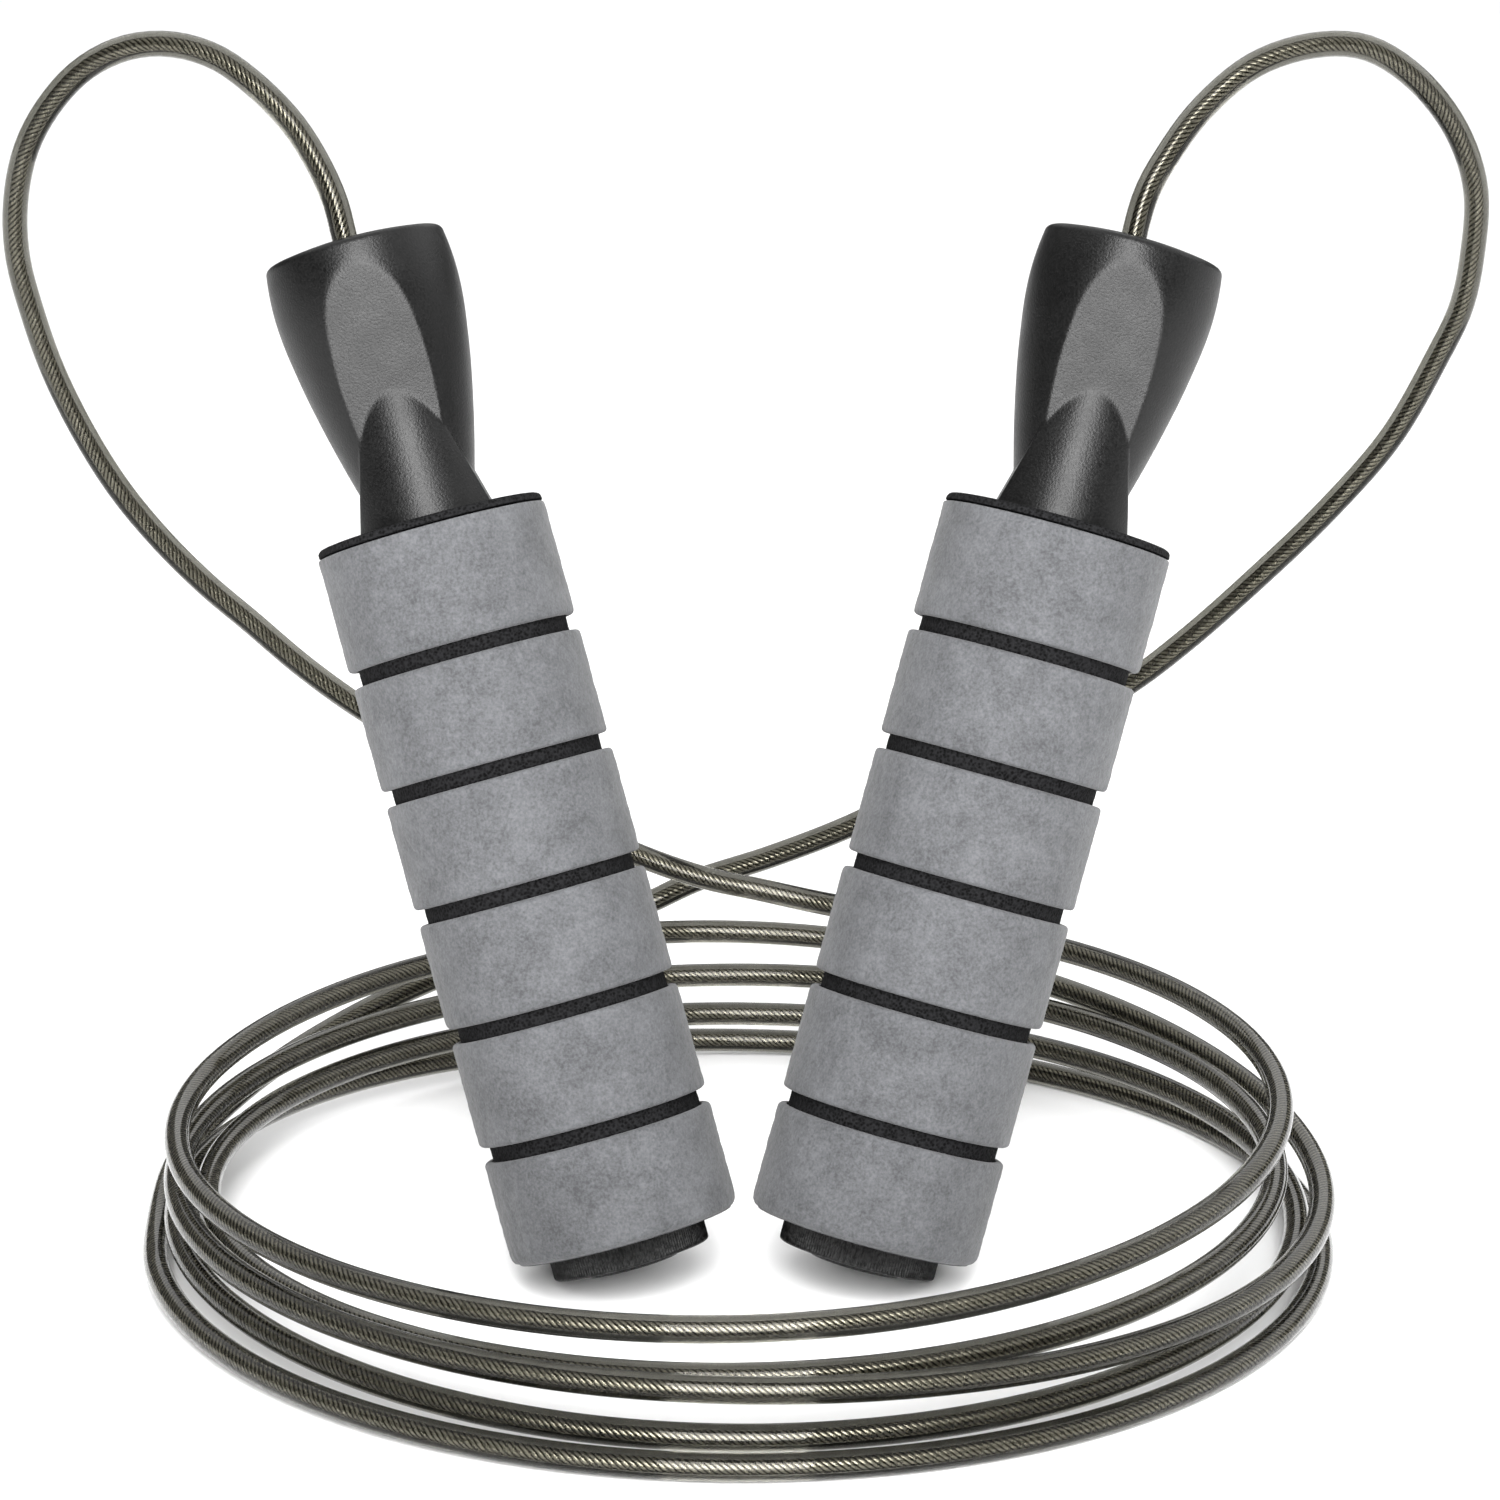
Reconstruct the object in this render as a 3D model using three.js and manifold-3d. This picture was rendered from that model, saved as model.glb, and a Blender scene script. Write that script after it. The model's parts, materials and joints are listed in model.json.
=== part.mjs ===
// Jump rope with foam grips: two handles standing inside their coiled, coated steel cord.
// Units are millimetres, +Z is up and +Y points away from the front. The handles' box stands on z = 0.
import * as THREE from 'three';
import { mergeVertices } from 'three/addons/utils/BufferGeometryUtils.js';
import Module from 'manifold-3d';

const wasm = await Module();
wasm.setup();

// Driving dimensions of a handle, along its axis from the end cap's rim (0) to the top face's edge.
const HEAD_LENGTH = 43.4;
const CAP_HEIGHT = 3.6;
const GRIP_RADIUS = 17.8;
const GROOVE_DEPTH = 1.5;
const GROOVE_WIDTH = 2.4;
const BAND_COUNT = 6;
const BAND_LENGTH = 16.3;
const TOP_BAND_LENGTH = 17.8;
const RIM_HEIGHT = 1.2;
const CORE_RADIUS = 12.1;
const CORE_BORE = 9.6;
const CORD_RADIUS = 2;
const GAP = 0.3;

// The head: a tulip with a crowned top over a neck cone, each cut by a pair of flats. Tulip points are
// [radius, distance below the top face's edge].
const CROWN = 1.3;
const TULIP = [
  [0, 41], [7.8, 41], [9.4, 35.5], [11.3, 28.2], [12.8, 20.9], [13.9, 14], [14.4, 8], [14.3, 4], [13.9, 1],
  [13, 0], [7, -0.8 * CROWN], [0, -CROWN],
];
const TULIP_FLAT_DEPTH = 15.15;
const TULIP_FLAT_LEAN = 0.215;
const NECK_TOP_RADIUS = 9.72;
const NECK_TOP_BELOW = 20;
const NECK_FLAT_WIDTH = 10.3;
const NECK_FLAT_LEAN = 0.27;
const TOP_HOLE_RADIUS = 3;
const TOP_HOLE_FLARE = 1.8;

// Stance: both handles lean back together and lean apart, and stand on the rims of their caps.
const LEAN_BACK = THREE.MathUtils.degToRad(15);
const LEAN_APART = THREE.MathUtils.degToRad(15.4);
const FOOT_X = 17.1;
const FOOT_Y = -18.65;
const CAP_RADIUS = 12.2;
const CAP_EDGE = 0.5;

// The coil that lies round the handles.
const COIL_CENTRE = { x: 0, y: 1 };
const COIL_INNER = 80.4;
const COIL_OUTER = 95.2;
const COIL_HEIGHT = 27.4;
const COIL_EDGE = 2;
const COIL_SEGMENTS = 56;

// Bearing in the head: 15 mm outside, 5 mm wide, with 7 balls that run in a groove of each ring.
const BEARING_TOP = 149;
const BEARING_WIDTH = 5;
const BEARING_LOW = BEARING_TOP - BEARING_WIDTH;
const BEARING_MIDDLE = BEARING_TOP - BEARING_WIDTH / 2;
const BEARING_RADIUS = 7.4;
const BEARING_BORE = 3.05;
const OUTER_RACE = 6.1;
const INNER_RACE = 4.4;
const RACE_DEPTH = 0.5;
const BALL_RADIUS = 1.1;
const BALL_PITCH = 5.25;
const BALL_COUNT = 7;
const CAGE_THICKNESS = 0.5;
const CAGE_HEIGHT = 1.4;
const POCKET_RADIUS = BEARING_RADIUS + GAP;
const STEM_RADIUS = BEARING_BORE - GAP;
const CORD_BORE = CORD_RADIUS + GAP;
const SHOULDER_RADIUS = 6.3;
const CLIP_THICKNESS = 1;
const CLIP_GROOVE = 0.8;

// The pieces on the cord's end, from the flange over the bearing down to the clamp sleeve under it.
const FLANGE_RADIUS = 4.3;
const FLANGE_THICKNESS = 1;
const FLANGE_LIFT = 0.4;
const WASHER_RADIUS = 5.2;
const WASHER_THICKNESS = 1;
const STOP_TOP = BEARING_LOW - 1.8;
const STOP_LENGTH = 9;
const STOP_RADIUS = 5;
const SCREW_RADIUS = 1.25;
const SCREW_POINT = 0.4;
const SOCKET_RADIUS = 0.7;
const SOCKET_DEPTH = 1.2;

// The cord's hidden end, along the handle's axis.
const TAIL = 133.6;
const ROUTE_STEPS = 38;
const CORD_SIDES = 8;

const BAND_PITCH = BAND_LENGTH + GROOVE_WIDTH;
const GRIP_START = CAP_HEIGHT + GAP;
const GRIP_END = GRIP_START + (BAND_COUNT - 1) * BAND_PITCH + TOP_BAND_LENGTH + GAP + RIM_HEIGHT;
const HANDLE_LENGTH = GRIP_END + HEAD_LENGTH;
const SLEEVE_RADIUS = GRIP_RADIUS - GROOVE_DEPTH;
const FOAM_EDGE = 0.6;
const LOWEST_EDGE = 1.3;

const HANDLE_SEGMENTS = 28;
const SMALL_SEGMENTS = 20;

// Cutting tools reach this far past what they cut.
const OVERCUT = 1;

const plastic = () => new THREE.MeshStandardMaterial({ color: 0x1c1c1d, roughness: 0.45, metalness: 0 });
const blackFoam = () => new THREE.MeshStandardMaterial({ color: 0x19191c, roughness: 0.95, metalness: 0 });
const greyFoam = () => new THREE.MeshStandardMaterial({ color: 0x8f9094, roughness: 0.95, metalness: 0 });
const steel = () => new THREE.MeshStandardMaterial({ color: 0xb4b4b8, roughness: 0.3, metalness: 1 });
const cordCoat = () => new THREE.MeshStandardMaterial({ color: 0x5a5a50, roughness: 0.3, metalness: 0.4 });

// A body of revolution about +Z from [radius, height] points.
function turned(points, segments) {
  const profile = points.map(([radius, height]) => new THREE.Vector2(radius, height));
  return new THREE.LatheGeometry(profile, segments).rotateX(Math.PI / 2);
}

// A closed ring of rectangular section with its profile given once round.
function ring(inner, outer, low, high, segments) {
  return turned([[inner, low], [outer, low], [outer, high], [inner, high], [inner, low]], segments);
}

// A prism along +X (or +Y) of a polygon in height and the other horizontal direction.
function prism(points, length, alongX) {
  const shape = new THREE.Shape(points.map(([across, height]) => new THREE.Vector2(across, height)));
  const geometry = new THREE.ExtrudeGeometry(shape, { depth: length, bevelEnabled: false });
  geometry.translate(0, 0, -length / 2).rotateX(Math.PI / 2);
  return alongX ? geometry.rotateZ(Math.PI / 2) : geometry;
}

function toSolid(geometry) {
  const bare = geometry.clone();
  bare.deleteAttribute('normal');
  bare.deleteAttribute('uv');
  const merged = mergeVertices(bare, 1e-4);
  const mesh = new wasm.Mesh({
    numProp: 3,
    vertProperties: new Float32Array(merged.attributes.position.array),
    triVerts: new Uint32Array(merged.index.array),
  });
  const solid = new wasm.Manifold(mesh);
  return solid.volume() < 0 ? new wasm.Manifold(flipped(mesh)) : solid;
}

function flipped(mesh) {
  const turnedOver = mesh.triVerts.slice();
  for (let i = 0; i < turnedOver.length; i += 3) {
    [turnedOver[i], turnedOver[i + 1]] = [turnedOver[i + 1], turnedOver[i]];
  }
  return new wasm.Mesh({ numProp: 3, vertProperties: mesh.vertProperties, triVerts: turnedOver });
}

function toGeometry(solid) {
  const mesh = solid.getMesh();
  const geometry = new THREE.BufferGeometry();
  geometry.setAttribute('position', new THREE.BufferAttribute(mesh.vertProperties, 3));
  geometry.setIndex(new THREE.BufferAttribute(mesh.triVerts, 1));
  geometry.computeVertexNormals();
  return geometry;
}

function named(name, geometry, material) {
  const mesh = new THREE.Mesh(geometry, material);
  mesh.name = name;
  return mesh;
}

// Two faces that lean together downwards, as a wedge to cut a pair of flats with.
function leaningFlats(halfWidthAt, fromBelow, toBelow, alongX) {
  const lowWidth = halfWidthAt(toBelow);
  const highWidth = halfWidthAt(fromBelow);
  const low = HANDLE_LENGTH - toBelow;
  const high = HANDLE_LENGTH - fromBelow;
  const wedge = prism([[-lowWidth, low], [lowWidth, low], [highWidth, high], [-highWidth, high]],
    4 * GRIP_RADIUS, alongX);
  return toSolid(wedge);
}

// Upper half of the head: a tulip shape, cut to two flats that lean in towards the neck, front and back.
function headTulip() {
  const body = turned(TULIP.map(([radius, below]) => [radius, HANDLE_LENGTH - below]), HANDLE_SEGMENTS);
  const depthAt = (below) => TULIP_FLAT_DEPTH - TULIP_FLAT_LEAN * below;
  return toSolid(body).intersect(leaningFlats(depthAt, -CROWN - OVERCUT, HEAD_LENGTH + OVERCUT, true));
}

// Lower half of the head: a cone that widens to the grip, cut to two flats at its sides that lean in upwards.
function headNeck() {
  const high = HANDLE_LENGTH - NECK_TOP_BELOW;
  const body = turned([[0, GRIP_END], [CORE_RADIUS, GRIP_END], [NECK_TOP_RADIUS, high], [0, high]],
    HANDLE_SEGMENTS);
  const widthAt = (below) => NECK_FLAT_WIDTH - NECK_FLAT_LEAN * (HEAD_LENGTH - below);
  const flats = leaningFlats(widthAt, NECK_TOP_BELOW - OVERCUT, HEAD_LENGTH + OVERCUT, false);
  return toSolid(body).intersect(flats);
}

// The hollow of the handle: a wide tube, the bearing's pocket with its clip groove, and the flared top hole.
function handleBore() {
  const pocketFoot = GRIP_END - 4;
  const clipTop = BEARING_LOW - 0.1;
  const clipLow = clipTop - CLIP_THICKNESS - 0.7;
  const shoulder = BEARING_TOP + GAP;
  const flangeRoom = shoulder + 2;
  return turned([
    [0, GRIP_START - OVERCUT], [CORE_BORE, GRIP_START - OVERCUT], [CORE_BORE, pocketFoot - 2],
    [POCKET_RADIUS, pocketFoot], [POCKET_RADIUS, clipLow], [POCKET_RADIUS + CLIP_GROOVE, clipLow],
    [POCKET_RADIUS + CLIP_GROOVE, clipTop], [POCKET_RADIUS, clipTop], [POCKET_RADIUS, shoulder],
    [SHOULDER_RADIUS, shoulder], [SHOULDER_RADIUS, flangeRoom], [TOP_HOLE_RADIUS, flangeRoom],
    [TOP_HOLE_RADIUS, flangeRoom + 1.5], [TOP_HOLE_RADIUS + TOP_HOLE_FLARE, HANDLE_LENGTH + CROWN + OVERCUT],
    [0, HANDLE_LENGTH + CROWN + OVERCUT],
  ], SMALL_SEGMENTS);
}

// The head and the core tube in one, hollow from end to end.
function handleShell() {
  const tube = turned([[0, GRIP_START], [CORE_RADIUS, GRIP_START], [CORE_RADIUS, GRIP_END], [0, GRIP_END]],
    HANDLE_SEGMENTS);
  return toGeometry(toSolid(tube).add(headNeck()).add(headTulip()).subtract(toSolid(handleBore())));
}

// The black foam that shows in the grooves and as a rounded rim above the top band.
function foamSleeve() {
  const inner = CORE_RADIUS + GAP;
  const low = GRIP_START + FOAM_EDGE;
  const rimLow = GRIP_END - RIM_HEIGHT;
  const rimRadius = GRIP_RADIUS - 0.2;
  return turned([
    [inner, low], [SLEEVE_RADIUS, low], [SLEEVE_RADIUS, rimLow], [rimRadius, rimLow],
    [rimRadius - FOAM_EDGE / 2, GRIP_END - FOAM_EDGE / 2], [rimRadius - FOAM_EDGE, GRIP_END],
    [inner, GRIP_END], [inner, low],
  ], HANDLE_SEGMENTS);
}

// One grey band. The top one is longer and square under the black rim, the lowest one rounder at its foot.
function foamBand(index) {
  const inner = SLEEVE_RADIUS + GAP;
  const low = GRIP_START + (BAND_COUNT - 1 - index) * BAND_PITCH;
  const high = low + (index === 0 ? TOP_BAND_LENGTH : BAND_LENGTH);
  const lowRound = index === BAND_COUNT - 1 ? LOWEST_EDGE : FOAM_EDGE;
  const highRound = index === 0 ? FOAM_EDGE / 4 : FOAM_EDGE;
  return turned([
    [inner, low], [GRIP_RADIUS - lowRound, low], [GRIP_RADIUS, low + lowRound],
    [GRIP_RADIUS, high - highRound], [GRIP_RADIUS - highRound, high], [inner, high], [inner, low],
  ], HANDLE_SEGMENTS);
}

// The plug: a rim outside, a low boss on its face, and a hollow spigot inside the core tube.
function endCap() {
  const spigotRadius = CORE_BORE - GAP;
  const spigotEnd = CAP_HEIGHT + 11;
  const wall = 1.8;
  const bossRadius = 7.3;
  const bossHeight = 0.9;
  return turned([
    [0, -bossHeight], [bossRadius - bossHeight / 2, -bossHeight], [bossRadius, 0],
    [CAP_RADIUS - CAP_EDGE, 0], [CAP_RADIUS, CAP_EDGE], [CAP_RADIUS, CAP_HEIGHT],
    [spigotRadius, CAP_HEIGHT], [spigotRadius - 0.2, spigotEnd],
    [spigotRadius - wall, spigotEnd], [spigotRadius - wall, CAP_HEIGHT - 1], [0, CAP_HEIGHT - 1],
  ], HANDLE_SEGMENTS);
}

// A bearing ring from its race outwards or inwards to its plain face, with a groove for the balls.
function bearingRing(race, plain) {
  const groove = race + Math.sign(plain - race) * RACE_DEPTH;
  const body = turned([
    [race, BEARING_LOW], [plain, BEARING_LOW], [plain, BEARING_TOP], [race, BEARING_TOP],
    [race, BEARING_MIDDLE + 2 * RACE_DEPTH], [groove, BEARING_MIDDLE + RACE_DEPTH],
    [groove, BEARING_MIDDLE - RACE_DEPTH], [race, BEARING_MIDDLE - 2 * RACE_DEPTH], [race, BEARING_LOW],
  ], SMALL_SEGMENTS);
  return toGeometry(toSolid(body));
}

// The balls, held by a thin ring through their centres.
function ballCage() {
  let cage = toSolid(ring(BALL_PITCH - CAGE_THICKNESS / 2, BALL_PITCH + CAGE_THICKNESS / 2,
    BEARING_MIDDLE - CAGE_HEIGHT / 2, BEARING_MIDDLE + CAGE_HEIGHT / 2, BALL_COUNT * 2));
  for (let i = 0; i < BALL_COUNT; i += 1) {
    const angle = (i / BALL_COUNT) * 2 * Math.PI;
    const ball = new THREE.SphereGeometry(BALL_RADIUS, 6, 4);
    ball.translate(BALL_PITCH * Math.cos(angle), BALL_PITCH * Math.sin(angle), BEARING_MIDDLE);
    cage = cage.add(toSolid(ball));
  }
  return toGeometry(cage);
}

// An open spring ring in the groove under the bearing.
function bearingRetainer() {
  const opening = THREE.MathUtils.degToRad(20);
  const outer = POCKET_RADIUS + CLIP_GROOVE / 2;
  const inner = SHOULDER_RADIUS + 0.1;
  const shape = new THREE.Shape();
  shape.absarc(0, 0, outer, opening, 2 * Math.PI - opening, false);
  shape.absarc(0, 0, inner, 2 * Math.PI - opening, opening, true);
  shape.closePath();
  const geometry = new THREE.ExtrudeGeometry(shape,
    { depth: CLIP_THICKNESS, bevelEnabled: false, curveSegments: 16 });
  return geometry.translate(0, 0, BEARING_LOW - CLIP_THICKNESS - 0.4);
}

// The flanged sleeve that the cord runs through, inside the bearing.
function spindle() {
  const low = BEARING_LOW - WASHER_THICKNESS - 0.2;
  const flangeLow = BEARING_TOP + FLANGE_LIFT;
  const flangeHigh = flangeLow + FLANGE_THICKNESS;
  return turned([
    [CORD_BORE, low], [STEM_RADIUS, low], [STEM_RADIUS, flangeLow], [FLANGE_RADIUS, flangeLow],
    [FLANGE_RADIUS, flangeHigh], [CORD_BORE, flangeHigh], [CORD_BORE, low],
  ], SMALL_SEGMENTS);
}

function thrustWasher() {
  const high = BEARING_LOW - GAP;
  return ring(BEARING_BORE, WASHER_RADIUS, high - WASHER_THICKNESS, high, SMALL_SEGMENTS);
}

// The clamp sleeve on the cord's end, with a cross hole for its screw.
function cordStop() {
  const low = STOP_TOP - STOP_LENGTH;
  const sleeve = toSolid(ring(CORD_BORE, STOP_RADIUS, low, STOP_TOP, SMALL_SEGMENTS));
  const holeRadius = SCREW_RADIUS + GAP;
  const holeLength = STOP_RADIUS + OVERCUT;
  const hole = new THREE.CylinderGeometry(holeRadius, holeRadius, holeLength, 12);
  hole.translate(0, -holeLength / 2, low + STOP_LENGTH / 2);
  return toGeometry(sleeve.subtract(toSolid(hole)));
}

// A headless screw with a hexagonal socket, across the clamp sleeve.
function setScrew() {
  const tip = CORD_RADIUS + 0.2;
  const end = STOP_RADIUS + 0.4;
  const screw = turned([
    [0, tip], [SCREW_RADIUS - SCREW_POINT, tip], [SCREW_RADIUS, tip + SCREW_POINT],
    [SCREW_RADIUS, end], [0, end],
  ], 12);
  const socket = new THREE.CylinderGeometry(SOCKET_RADIUS, SOCKET_RADIUS, 2 * SOCKET_DEPTH, 6);
  socket.rotateX(Math.PI / 2).translate(0, 0, end);
  const geometry = toGeometry(toSolid(screw).subtract(toSolid(socket)));
  return geometry.rotateX(Math.PI / 2).translate(0, 0, STOP_TOP - STOP_LENGTH / 2);
}

// The nodes of one handle, standing on the rim of its cap. side is -1 for the left one and 1 for the right.
function handle(name, side) {
  const group = new THREE.Group();
  const add = (part, geometry, material) => group.add(named(`${name}_${part}`, geometry, material));
  add('handle_shell', handleShell(), plastic());
  add('foam_sleeve', foamSleeve(), blackFoam());
  for (let index = 0; index < BAND_COUNT; index += 1) {
    add(`foam_band_${index + 1}`, foamBand(index), greyFoam());
  }
  add('end_cap', endCap(), plastic());
  add('bearing_outer_ring', bearingRing(OUTER_RACE, BEARING_RADIUS), steel());
  add('bearing_inner_ring', bearingRing(INNER_RACE, BEARING_BORE), steel());
  add('ball_cage', ballCage(), steel());
  add('bearing_retainer', bearingRetainer(), steel());
  add('spindle', spindle(), steel());
  add('thrust_washer', thrustWasher(), steel());
  add('cord_stop', cordStop(), steel());
  add('set_screw', setScrew(), steel());
  group.rotation.set(-LEAN_BACK, side * LEAN_APART, 0);
  const upright = Math.cos(LEAN_BACK) * Math.cos(LEAN_APART);
  group.position.set(side * FOOT_X, FOOT_Y, (CAP_RADIUS - CAP_EDGE) * Math.sqrt(1 - upright * upright));
  group.updateMatrixWorld(true);
  return group;
}

// The free routes of the cord from each handle's top, over and down behind, to the top of the coil.
const LEFT_ROUTE = [
  [-60.5, 21.8, 153], [-62.5, 24.2, 160], [-65.5, 26.9, 166], [-69.5, 29.5, 171.6], [-75.5, 32.1, 177.2],
  [-81.5, 34.6, 180.9], [-88.5, 37, 182.5], [-95.5, 39.5, 181.7], [-102.5, 42.1, 178.3],
  [-108.5, 44.7, 172.4], [-113, 47.4, 165], [-115.5, 50.3, 156], [-116, 53.3, 147], [-114.5, 56.3, 137.5],
  [-112, 59.3, 127.5], [-108, 62.3, 117], [-103, 65.3, 107], [-97, 68.3, 98], [-90, 71.3, 89.5],
  [-82.5, 73.8, 82], [-74.5, 76.3, 74], [-65.5, 78.3, 66.5], [-54.5, 80.3, 59], [-42.5, 82.3, 51],
  [-30.5, 83.8, 44.5], [-18.5, 84.3, 38.5], [-7.5, 84.3, 34.5], [3.5, 84.3, 32], [13.5, 82.8, 30.2],
];
const RIGHT_ROUTE = [
  [61.2, 24.3, 160.5], [65, 27.2, 167], [70.5, 30.8, 173.6], [78.5, 33.8, 179.7], [88, 36.6, 182.4],
  [96.5, 40, 181.6], [104.5, 43.3, 176.7], [112, 47.8, 167.9], [116, 51.4, 158], [116.5, 55.3, 147],
  [115.5, 58.3, 138], [112.5, 61.3, 129.5], [106, 66.3, 115], [96.5, 70.3, 102], [86, 74.3, 90],
  [74.5, 78.3, 78], [65, 81.3, 69.5], [54.5, 83.8, 62.5], [43.5, 86.3, 56], [30.5, 89.3, 48.5],
  [18, 91.3, 41.5], [4.5, 93.3, 35.5], [-8.5, 93.8, 31],
];

// A round tube that starts inside the handle's cord stop, leaves through the spindle, and follows the route.
function cordArc(handleGroup, route) {
  const inside = [TAIL, STOP_TOP, BEARING_TOP, BEARING_TOP + 3];
  const start = inside.map((height) => new THREE.Vector3(0, 0, height).applyMatrix4(handleGroup.matrixWorld));
  const rest = route.map(([x, y, z]) => new THREE.Vector3(x, y, z));
  const path = new THREE.CatmullRomCurve3([...start, ...rest], false, 'centripetal');
  const section = new THREE.Shape();
  for (let i = 0; i < CORD_SIDES; i += 1) {
    const angle = ((i + 0.5) / CORD_SIDES) * 2 * Math.PI;
    const point = [CORD_RADIUS * Math.cos(angle), CORD_RADIUS * Math.sin(angle)];
    if (i === 0) section.moveTo(...point);
    else section.lineTo(...point);
  }
  section.closePath();
  return new THREE.ExtrudeGeometry(section, { steps: ROUTE_STEPS, extrudePath: path, bevelEnabled: false });
}

// The outer shape of the coiled turns, flat on the ground.
function cordCoil() {
  const geometry = turned([
    [COIL_INNER, 0], [COIL_OUTER, 0], [COIL_OUTER, COIL_HEIGHT - COIL_EDGE],
    [COIL_OUTER - COIL_EDGE, COIL_HEIGHT], [COIL_INNER + COIL_EDGE, COIL_HEIGHT],
    [COIL_INNER, COIL_HEIGHT - COIL_EDGE], [COIL_INNER, 0],
  ], COIL_SEGMENTS);
  return geometry.translate(COIL_CENTRE.x, COIL_CENTRE.y, 0);
}

const jumpRope = new THREE.Group();
const left = handle('left', -1);
const right = handle('right', 1);
jumpRope.add(left, right);
jumpRope.add(named('cord_left_arc', cordArc(left, LEFT_ROUTE), cordCoat()));
jumpRope.add(named('cord_right_arc', cordArc(right, RIGHT_ROUTE), cordCoat()));
jumpRope.add(named('cord_coil', cordCoil(), cordCoat()));

export default jumpRope;
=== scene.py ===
"""Looks of the jump rope: two foam-grip handles that stand inside their coiled, coated steel cord.

Lengths are in metres. A profile or a section is written in millimetres and turned into metres as its
mesh is made. Handle profiles use the handle's own axis, from the end cap's rim (0) to the top face.
"""
import json
import math

import bmesh
import bpy
import numpy as np
from mathutils import Matrix, Vector, noise


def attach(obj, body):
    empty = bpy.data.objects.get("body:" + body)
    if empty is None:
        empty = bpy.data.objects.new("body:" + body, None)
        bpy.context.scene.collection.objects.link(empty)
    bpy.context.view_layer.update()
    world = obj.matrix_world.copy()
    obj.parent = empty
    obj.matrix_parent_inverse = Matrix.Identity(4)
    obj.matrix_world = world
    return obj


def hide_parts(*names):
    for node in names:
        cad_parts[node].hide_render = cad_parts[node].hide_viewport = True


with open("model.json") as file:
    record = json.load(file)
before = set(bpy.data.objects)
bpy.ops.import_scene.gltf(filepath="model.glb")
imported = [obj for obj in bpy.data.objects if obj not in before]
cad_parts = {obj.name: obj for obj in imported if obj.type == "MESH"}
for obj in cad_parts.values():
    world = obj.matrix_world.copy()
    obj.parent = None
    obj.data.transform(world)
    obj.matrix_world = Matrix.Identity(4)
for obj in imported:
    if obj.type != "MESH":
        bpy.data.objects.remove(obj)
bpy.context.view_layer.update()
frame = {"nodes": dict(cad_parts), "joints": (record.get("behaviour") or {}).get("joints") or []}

MM = 0.001
SIDES = ("left", "right")

# Driving dimensions of a handle, in millimetres.
HEAD_LENGTH = 43.4
CAP_HEIGHT = 3.6
CAP_RADIUS = 12.2
GRIP_RADIUS = 17.8
GROOVE_DEPTH = 1.5
GROOVE_WIDTH = 2.4
BAND_COUNT = 6
BAND_LENGTH = 16.3
TOP_BAND_LENGTH = 17.8
RIM_HEIGHT = 1.2
CORE_RADIUS = 12.1
CORE_BORE = 9.6
CORD_RADIUS = 2
GAP = 0.3
BEARING_TOP = 149
BEARING_WIDTH = 5
BEARING_RADIUS = 7.4

BAND_PITCH = BAND_LENGTH + GROOVE_WIDTH
GRIP_START = CAP_HEIGHT + GAP
GRIP_END = GRIP_START + (BAND_COUNT - 1) * BAND_PITCH + TOP_BAND_LENGTH + GAP + RIM_HEIGHT
HANDLE_LENGTH = GRIP_END + HEAD_LENGTH
SLEEVE_RADIUS = GRIP_RADIUS - GROOVE_DEPTH
# Where the cord ends inside the handle.
CORD_TAIL = 133.6

# The cord's free stretches, from each handle's top over and down behind to the top of the coil, in metres.
LEFT_ROUTE = [
    (-0.0605, 0.0218, 0.153), (-0.0625, 0.0242, 0.16), (-0.0655, 0.0269, 0.166), (-0.0695, 0.0295, 0.1716),
    (-0.0755, 0.0321, 0.1772), (-0.0815, 0.0346, 0.1809), (-0.0885, 0.037, 0.1825),
    (-0.0955, 0.0395, 0.1817), (-0.1025, 0.0421, 0.1783), (-0.1085, 0.0447, 0.1724),
    (-0.113, 0.0474, 0.165), (-0.1155, 0.0503, 0.156), (-0.116, 0.0533, 0.147), (-0.1145, 0.0563, 0.1375),
    (-0.112, 0.0593, 0.1275), (-0.108, 0.0623, 0.117), (-0.103, 0.0653, 0.107), (-0.097, 0.0683, 0.098),
    (-0.09, 0.0713, 0.0895), (-0.0825, 0.0738, 0.082), (-0.0745, 0.0763, 0.074), (-0.0655, 0.0783, 0.0665),
    (-0.0545, 0.0803, 0.059), (-0.0425, 0.0823, 0.051), (-0.0305, 0.0838, 0.0445),
    (-0.0185, 0.0843, 0.0385), (-0.0075, 0.0843, 0.0345), (0.0035, 0.0843, 0.032), (0.0135, 0.0828, 0.0302),
]
RIGHT_ROUTE = [
    (0.0612, 0.0243, 0.1605), (0.065, 0.0272, 0.167), (0.0705, 0.0308, 0.1736), (0.0785, 0.0338, 0.1797),
    (0.088, 0.0366, 0.1824), (0.0965, 0.04, 0.1816), (0.1045, 0.0433, 0.1767), (0.112, 0.0478, 0.1679),
    (0.116, 0.0514, 0.158), (0.1165, 0.0553, 0.147), (0.1155, 0.0583, 0.138), (0.1125, 0.0613, 0.1295),
    (0.106, 0.0663, 0.115), (0.0965, 0.0703, 0.102), (0.086, 0.0743, 0.09), (0.0745, 0.0783, 0.078),
    (0.065, 0.0813, 0.0695), (0.0545, 0.0838, 0.0625), (0.0435, 0.0863, 0.056), (0.0305, 0.0893, 0.0485),
    (0.018, 0.0913, 0.0415), (0.0045, 0.0933, 0.0355), (-0.0085, 0.0938, 0.031),
]
# The last stretch, which climbs out of the coil's lowest turn at the left to the right route's end.
CLIMB = [
    (-0.0906, 0.022, 0.0065), (-0.0829, 0.0433, 0.01), (-0.0702, 0.0621, 0.014),
    (-0.0545, 0.0768, 0.018), (-0.0365, 0.0868, 0.022), (-0.0175, 0.0928, 0.027),
]

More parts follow.
